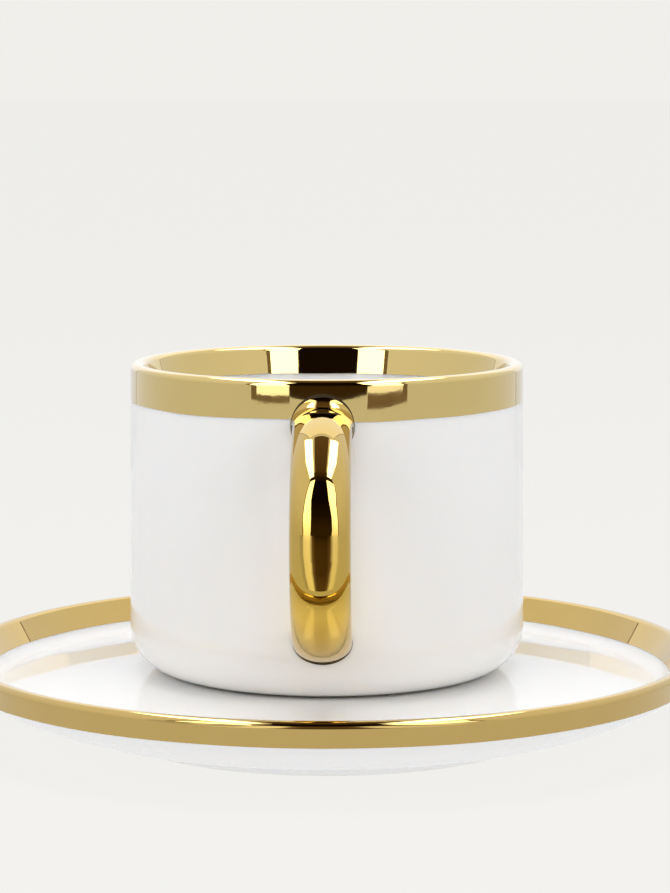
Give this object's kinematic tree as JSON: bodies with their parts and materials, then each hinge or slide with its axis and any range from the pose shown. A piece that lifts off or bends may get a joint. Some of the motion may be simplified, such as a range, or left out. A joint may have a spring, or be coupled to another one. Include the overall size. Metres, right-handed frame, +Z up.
{
  "type": "cup with saucer",
  "caption": "Low straight-walled white porcelain coffee cup with a gilded lip and gilded ring handle, standing on a shallow round saucer with a gilded upturned rim.",
  "frame": {"origin": "middle of the saucer's foot ring, on the plane that it stands on", "axes": "+Z up through the cup's axis, -Y from the axis to the handle, +X to the right with the handle in front"},
  "size_m": [0.1516, 0.1516, 0.0762],
  "materials": {
    "porcelain": "clear gloss glaze over white porcelain",
    "gilding": "bright gold film fired over glazed porcelain, mirror gloss"
  },
  "bodies": {
    "saucer": {"saucer_body": "porcelain", "saucer_rim_band": "gilding"},
    "cup": {"cup_body": "porcelain", "cup_rim_band": "gilding", "handle": "gilding"}
  },
  "joints": [
    {"name": "cup_lift", "type": "slide", "parent": "saucer", "child": "cup", "axis": [0, 0, 1], "range_m": [0, 0.1]}
  ]
}
